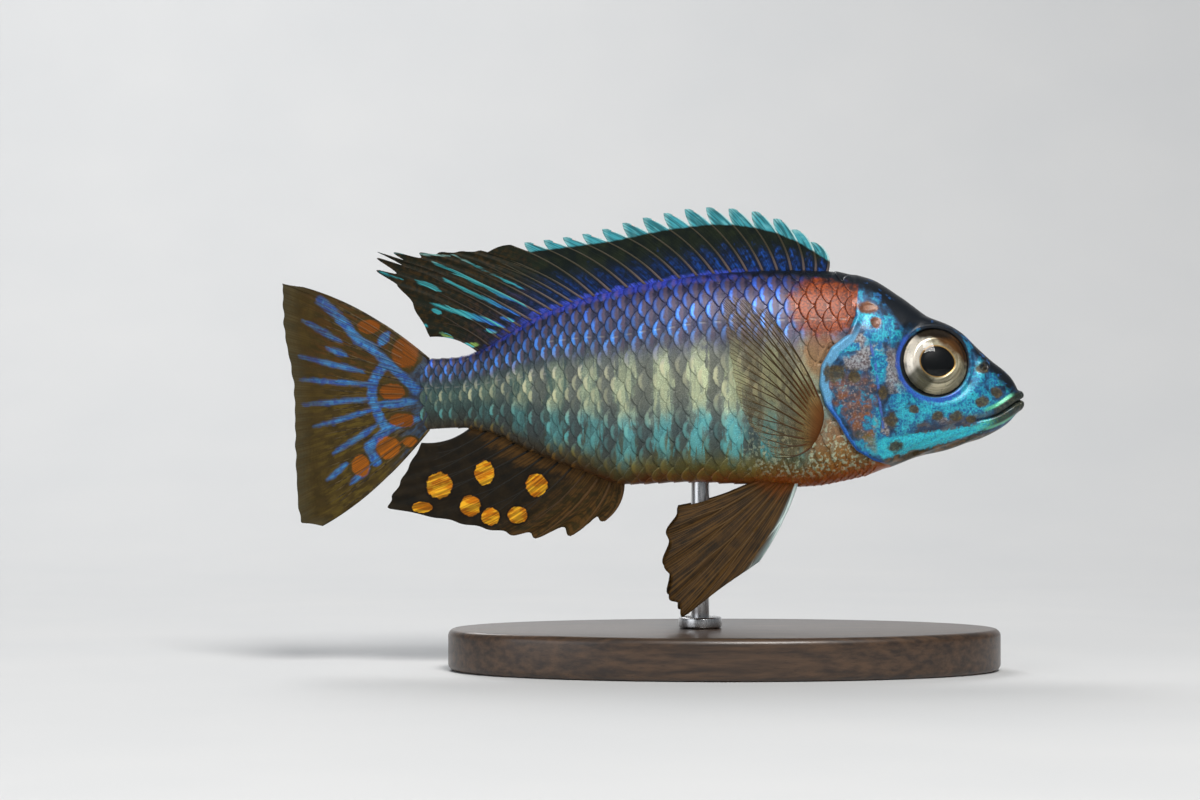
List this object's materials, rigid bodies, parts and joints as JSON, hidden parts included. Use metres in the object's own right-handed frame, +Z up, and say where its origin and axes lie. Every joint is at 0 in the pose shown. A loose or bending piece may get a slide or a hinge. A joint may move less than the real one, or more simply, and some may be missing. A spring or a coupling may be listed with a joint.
{
  "type": "peacock cichlid model",
  "caption": "Life-size male peacock cichlid with spread fins, swimming level on a round rod over a flat oval display base.",
  "frame": {"origin": "centre of the display base's underside, 50 mm behind the fish's snout, under the middle of its standard length", "axes": "+X towards the fish's snout, +Y towards its left side, +Z up"},
  "size_m": [0.1244, 0.05, 0.0771],
  "materials": {
    "head_skin": "satin, iridescent blue",
    "flank_skin": "satin, iridescent",
    "gill_cover_skin": "satin, iridescent blue",
    "fin_dark": "satin, nearly black",
    "fin_brown": "satin, brown with blue marks",
    "fin_clear": "translucent brown",
    "eye_silver": "wet gloss",
    "stand_wood": "dark satin varnish",
    "stand_steel": "satin"
  },
  "bodies": {
    "root": {"head": "head_skin", "gill_cover_right": "gill_cover_skin", "gill_cover_left": "gill_cover_skin", "trunk": "flank_skin", "tail_stem": "flank_skin", "eye_right": "eye_silver", "eye_left": "eye_silver", "dorsal_fin": "fin_dark", "anal_fin": "fin_dark", "caudal_fin": "fin_brown", "pectoral_fin_right": "fin_clear", "pectoral_fin_left": "fin_clear", "pelvic_fin_right": "fin_brown", "pelvic_fin_left": "fin_brown", "stand_rod": "stand_steel", "stand_collar": "stand_steel", "stand_base": "stand_wood"}
  },
  "joints": []
}
